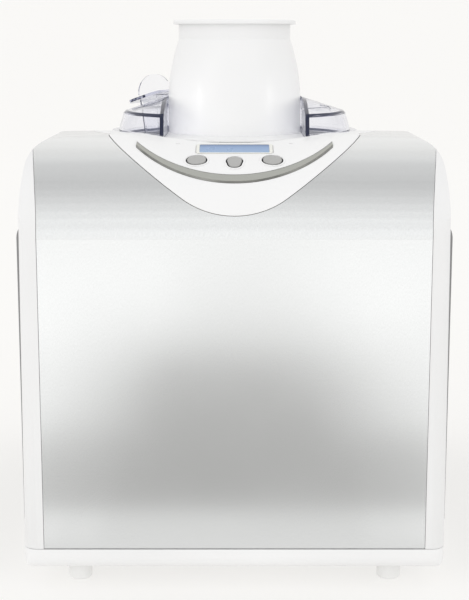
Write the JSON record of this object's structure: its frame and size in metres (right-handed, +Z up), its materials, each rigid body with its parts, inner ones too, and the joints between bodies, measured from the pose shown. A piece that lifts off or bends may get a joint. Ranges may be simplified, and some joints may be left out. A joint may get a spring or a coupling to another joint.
{
  "type": "ice cream maker",
  "caption": "Self-refrigerating ice cream maker: tall steel-fronted white cabinet, round clear lid with a motor tower, refill flap, display and buttons, and side grilles.",
  "frame": {"origin": "on the worktop, under the middle of the cabinet", "axes": "+X to the user's right, -Y to the front, +Z up"},
  "size_m": [0.291, 0.4, 0.3758],
  "materials": {
    "white_plastic": "smooth moulded, soft gloss",
    "steel_sheet": "fine vertical brushing",
    "foot_rubber": "matt",
    "grey_plastic": "fine moulded grain",
    "button_plastic": "satin",
    "satin_trim": "satin",
    "bezel_plastic": "satin",
    "display_glass": "pale blue, unlit",
    "dark_plastic": "matt",
    "circuit_board": "solder resist",
    "aluminium": "spun",
    "silicone": "soft",
    "copper": "drawn tube",
    "foam": "expanded foam",
    "zinc_steel": "zinc plated",
    "bright_steel": "drawn",
    "black_steel": "black enamel",
    "black_rubber": "moulded",
    "clear_plastic": "clear moulded plastic",
    "gear_plastic": "acetal",
    "brass": "turned"
  },
  "bodies": {
    "cabinet": {"base_tray": "white_plastic", "feet": "foot_rubber", "left_side_shell": "white_plastic", "right_side_shell": "white_plastic", "front_panel": "steel_sheet", "rear_panel": "white_plastic", "top_deck": "white_plastic", "left_grille": "grey_plastic", "right_grille": "grey_plastic", "chrome_trim": "satin_trim", "lcd_bezel": "bezel_plastic", "lcd_window": "display_glass", "lcd_module": "dark_plastic", "tact_switches": "dark_plastic", "control_board": "circuit_board", "chilling_well": "aluminium", "well_seal": "silicone", "evaporator_coil": "copper", "insulation": "foam", "bowl_support": "zinc_steel", "compressor": "black_steel", "compressor_plate": "zinc_steel", "compressor_grommets": "black_rubber", "condenser_fins": "aluminium", "condenser_tube": "copper", "fan_shroud": "dark_plastic", "fan_motor": "zinc_steel", "filter_drier": "copper", "suction_pipe": "copper", "discharge_pipe": "copper", "power_board": "circuit_board", "cord_gland": "black_rubber", "contact_socket": "dark_plastic", "base_screws": "zinc_steel", "rear_screws": "zinc_steel"},
    "fan": {"fan_blades": "dark_plastic"},
    "left_button": {"button_left": "button_plastic"},
    "middle_button": {"button_middle": "button_plastic"},
    "right_button": {"button_right": "button_plastic"},
    "bowl": {"removable_bowl": "aluminium"},
    "handle": {"bowl_handle": "bright_steel"},
    "paddle": {"mixing_paddle": "white_plastic"},
    "lid_unit": {"lid": "clear_plastic", "refill_chute": "clear_plastic", "lid_gasket": "silicone", "flap_pin": "bright_steel"},
    "flap": {"refill_flap": "clear_plastic"},
    "motor_unit": {"motor_base": "white_plastic", "motor_housing": "white_plastic", "motor_cap": "white_plastic", "contact_plug": "dark_plastic", "shaft_bush": "brass", "gear_plate": "zinc_steel", "drive_motor": "zinc_steel"},
    "rotor": {"drive_pinion": "brass"},
    "idler": {"idler_gear": "gear_plastic"},
    "output": {"output_gear": "gear_plastic", "output_shaft": "bright_steel"}
  },
  "joints": [
    {"name": "lid_lift", "type": "slide", "parent": "cabinet", "child": "lid_unit", "axis": [0, 0, 1], "range_m": [0, 0.28]},
    {"name": "motor_unit_lift", "type": "slide", "parent": "lid_unit", "child": "motor_unit", "axis": [0, 0, 1], "range_m": [0, 0.09]},
    {"name": "bowl_lift", "type": "slide", "parent": "cabinet", "child": "bowl", "axis": [0, 0, 1], "range_m": [0, 0.14]},
    {"name": "handle_swing", "type": "hinge", "parent": "bowl", "child": "handle", "pos_m": [0, -0.045, 0.2856], "axis": [1, 0, 0], "range_deg": [0, 90]},
    {"name": "paddle_spin", "type": "hinge", "parent": "bowl", "child": "paddle", "pos_m": [0, -0.045, 0.17], "axis": [0, 0, 1], "continuous": true},
    {"name": "output_spin", "type": "hinge", "parent": "motor_unit", "child": "output", "pos_m": [0, -0.045, 0.3], "axis": [0, 0, 1], "continuous": true},
    {"name": "idler_spin", "type": "hinge", "parent": "motor_unit", "child": "idler", "pos_m": [0.0264, -0.045, 0.305], "axis": [0, 0, 1], "continuous": true},
    {"name": "rotor_spin", "type": "hinge", "parent": "motor_unit", "child": "rotor", "pos_m": [0.008, -0.045, 0.312], "axis": [0, 0, 1], "continuous": true},
    {"name": "flap_hinge", "type": "hinge", "parent": "lid_unit", "child": "flap", "pos_m": [-0.04729, 0.00618, 0.32052], "axis": [-0.8619, 0.4019, -0.309], "range_deg": [0, 105]},
    {"name": "fan_spin", "type": "hinge", "parent": "cabinet", "child": "fan", "pos_m": [-0.0972, 0.127, 0.095], "axis": [1, 0, 0], "continuous": true},
    {"name": "left_press", "type": "slide", "parent": "cabinet", "child": "left_button", "axis": [0, 0.4404, -0.8978], "range_m": [0, 0.001], "stiffness_N_per_m": 600},
    {"name": "middle_press", "type": "slide", "parent": "cabinet", "child": "middle_button", "axis": [0, 0.4556, -0.8902], "range_m": [0, 0.001], "stiffness_N_per_m": 600},
    {"name": "right_press", "type": "slide", "parent": "cabinet", "child": "right_button", "axis": [0, 0.4404, -0.8978], "range_m": [0, 0.001], "stiffness_N_per_m": 600}
  ],
  "couplings": [
    {"joint": "bowl_lift", "follows": "lid_lift", "ratio": 0.5},
    {"joint": "handle_swing", "follows": "lid_lift", "rad_per_m": 5.61},
    {"joint": "output_spin", "follows": "paddle_spin", "ratio": 1},
    {"joint": "idler_spin", "follows": "paddle_spin", "ratio": -4.5},
    {"joint": "rotor_spin", "follows": "paddle_spin", "ratio": 16.2}
  ]
}
